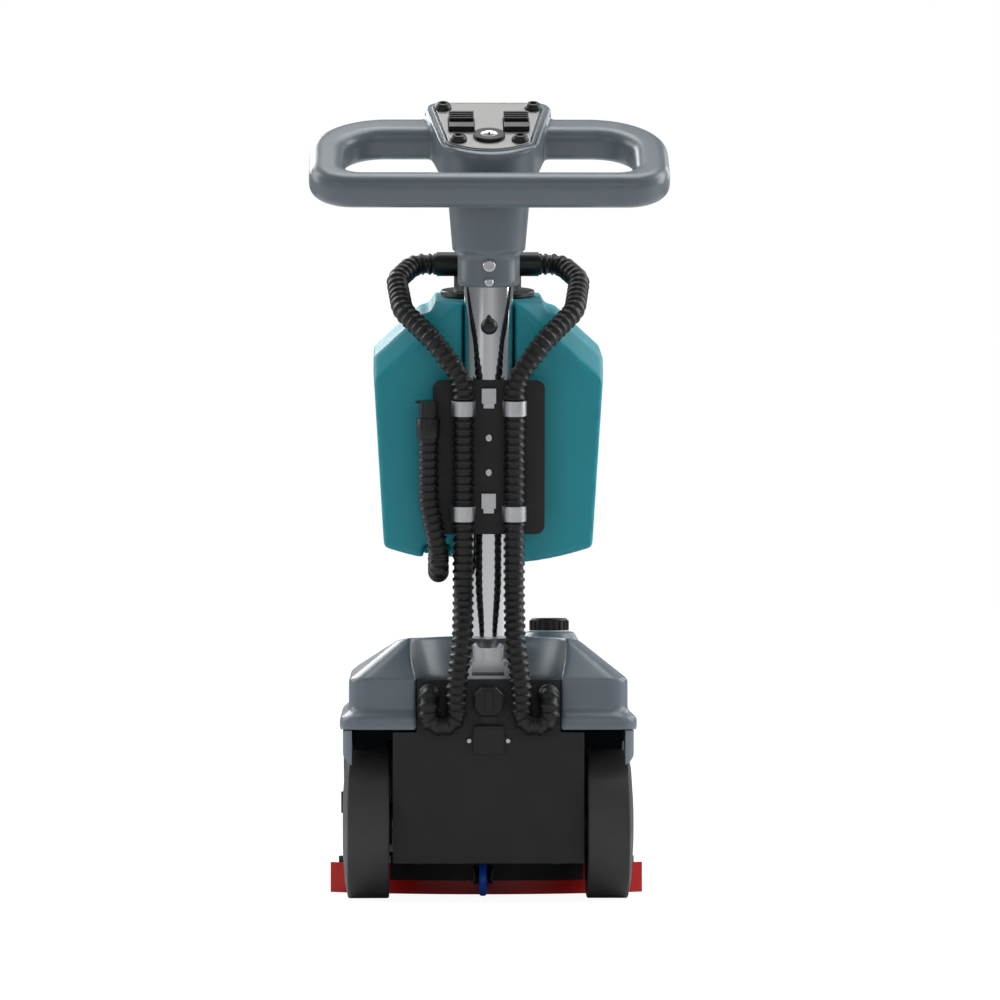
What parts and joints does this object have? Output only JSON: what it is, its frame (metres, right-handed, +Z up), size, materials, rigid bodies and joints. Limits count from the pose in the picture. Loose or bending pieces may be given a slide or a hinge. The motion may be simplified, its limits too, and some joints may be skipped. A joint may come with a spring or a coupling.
{
  "type": "floor scrubber machine",
  "caption": "Walk-behind floor scrubber: leaning chrome mast with handle loop and console, rear squeegee, disc brush, clean and recovery water tanks.",
  "frame": {"origin": "centre of the bounding box on the floor", "axes": "+Z up; +Y toward the machine's front, away from the operator; +X to the operator's right; X = 0 is the middle plane"},
  "size_m": [0.478, 0.6955, 1.0735],
  "materials": {
    "frame_steel": "satin black powder coat",
    "black_panel": "satin black",
    "grey_shell": "moulded, fine grain",
    "grey_handle": "moulded, fine grain",
    "black_rubber": "matte",
    "black_plastic": "moulded, satin",
    "battery_case": "moulded",
    "motor_steel": "satin",
    "cast_aluminium": "polished casting",
    "plated_steel": "bright zinc",
    "bush_brass": "turned",
    "white_plastic": "moulded",
    "hose_plastic": "corrugated, satin",
    "cap_plastic": "moulded, satin",
    "tyre_rubber": "smooth solid tread",
    "hub_plastic": "moulded",
    "bristle_nylon": "nylon bristle",
    "red_rubber": "polyurethane, semi gloss",
    "blue_plastic": "moulded",
    "mast_chrome": "bright chrome",
    "clip_steel": "pressed, bright",
    "teal_tank": "rotomoulded, fine grain",
    "console_metal": "brushed",
    "board_green": "circuit board"
  },
  "bodies": {
    "chassis": {"chassis_frame": "frame_steel", "rear_panel": "black_panel", "lower_shell": "grey_shell", "clean_tank": "grey_shell", "front_bumper": "black_rubber", "brush_deck": "black_plastic", "battery_pack": "battery_case", "brush_motor": "motor_steel", "brush_gearbox": "cast_aluminium", "vacuum_motor": "motor_steel", "water_pump": "black_plastic", "control_box": "black_plastic", "wheel_axle": "plated_steel", "wheel_bushes": "bush_brass", "mast_clevis": "cast_aluminium", "hinge_pin": "plated_steel", "hose_inlets": "black_plastic", "charging_inlet": "black_plastic", "inlet_screws": "plated_steel", "latch_strap": "black_plastic", "filler_strainer": "white_plastic", "lower_hoses": "hose_plastic"},
    "fill_cap": {"fill_cap": "cap_plastic"},
    "inlet_flap": {"inlet_flap": "black_plastic"},
    "latch_knob": {"latch_knob": "black_plastic"},
    "wheel_right": {"tyre_right": "tyre_rubber", "hub_right": "hub_plastic"},
    "wheel_left": {"tyre_left": "tyre_rubber", "hub_left": "hub_plastic"},
    "brush": {"brush_plate": "black_plastic", "brush_bristles": "bristle_nylon", "drive_hub": "black_plastic"},
    "squeegee": {"squeegee_blades": "red_rubber", "squeegee_channel": "black_plastic", "squeegee_clamp": "black_panel", "squeegee_arms": "frame_steel", "squeegee_knobs": "cap_plastic", "roller_axle": "plated_steel"},
    "guide_roller": {"guide_roller": "blue_plastic"},
    "mast": {"mast_foot": "cast_aluminium", "mast_tube": "mast_chrome", "mount_plate": "black_panel", "mast_screws": "plated_steel", "hose_clips": "clip_steel", "recovery_tank": "teal_tank", "tank_lid": "cap_plastic", "hose_elbows": "cap_plastic", "float_valve": "white_plastic", "suction_hoses": "hose_plastic", "drain_hose": "hose_plastic", "handle_loop": "grey_handle", "console_plate": "console_metal", "panel_screws": "cap_plastic", "control_board": "board_green", "key_bezel": "cap_plastic"},
    "drain_cap": {"drain_cap": "cap_plastic"},
    "release_knob": {"release_knob": "cap_plastic"},
    "switch_right": {"switch_right": "cap_plastic"},
    "switch_left": {"switch_left": "cap_plastic"},
    "key_barrel": {"key_barrel": "plated_steel"}
  },
  "joints": [
    {"name": "mast_tilt", "type": "hinge", "parent": "chassis", "child": "mast", "pos_m": [0, -0.154, 0.311], "axis": [1, 0, 0], "range_deg": [0, 40], "deforming": ["lower_hoses"]},
    {"name": "wheel_right_spin", "type": "hinge", "parent": "chassis", "child": "wheel_right", "pos_m": [0.161, -0.139, 0.1], "axis": [1, 0, 0], "continuous": true},
    {"name": "wheel_left_spin", "type": "hinge", "parent": "chassis", "child": "wheel_left", "pos_m": [-0.161, -0.139, 0.1], "axis": [1, 0, 0], "continuous": true},
    {"name": "brush_spin", "type": "hinge", "parent": "chassis", "child": "brush", "pos_m": [0, 0.148, 0.04], "axis": [0, 0, 1], "continuous": true},
    {"name": "squeegee_lift", "type": "hinge", "parent": "chassis", "child": "squeegee", "pos_m": [0, -0.178, 0.066], "axis": [1, 0, 0], "range_deg": [0, 8]},
    {"name": "roller_spin", "type": "hinge", "parent": "squeegee", "child": "guide_roller", "pos_m": [-0.006, -0.099, 0.023], "axis": [1, 0, 0], "continuous": true},
    {"name": "switch_right_rock", "type": "hinge", "parent": "mast", "child": "switch_right", "pos_m": [0.0366, -0.21709, 1.03591], "axis": [1, 0, 0], "range_deg": [-8, 8]},
    {"name": "switch_left_rock", "type": "hinge", "parent": "mast", "child": "switch_left", "pos_m": [-0.0366, -0.21709, 1.03591], "axis": [1, 0, 0], "range_deg": [-8, 8]},
    {"name": "key_turn", "type": "hinge", "parent": "mast", "child": "key_barrel", "pos_m": [0, -0.25719, 1.02011], "axis": [0, 0.4305, -0.9026], "range_deg": [0, 90]},
    {"name": "release_pull", "type": "slide", "parent": "mast", "child": "release_knob", "axis": [0, -0.9925, -0.1219], "range_m": [0, 0.008], "stiffness_N_per_m": 400},
    {"name": "fill_cap_lift", "type": "slide", "parent": "chassis", "child": "fill_cap", "axis": [0, 0, 1], "range_m": [0, 0.06]},
    {"name": "flap_open", "type": "hinge", "parent": "chassis", "child": "inlet_flap", "pos_m": [0, -0.2163, 0.2335], "axis": [-1, 0, 0], "range_deg": [0, 100]},
    {"name": "latch_turn", "type": "hinge", "parent": "chassis", "child": "latch_knob", "pos_m": [0, -0.22, 0.268], "axis": [0, -1, 0], "range_deg": [0, 90]},
    {"name": "drain_cap_pull", "type": "slide", "parent": "mast", "child": "drain_cap", "axis": [0, -0.1219, 0.9925], "range_m": [0, 0.03]}
  ]
}
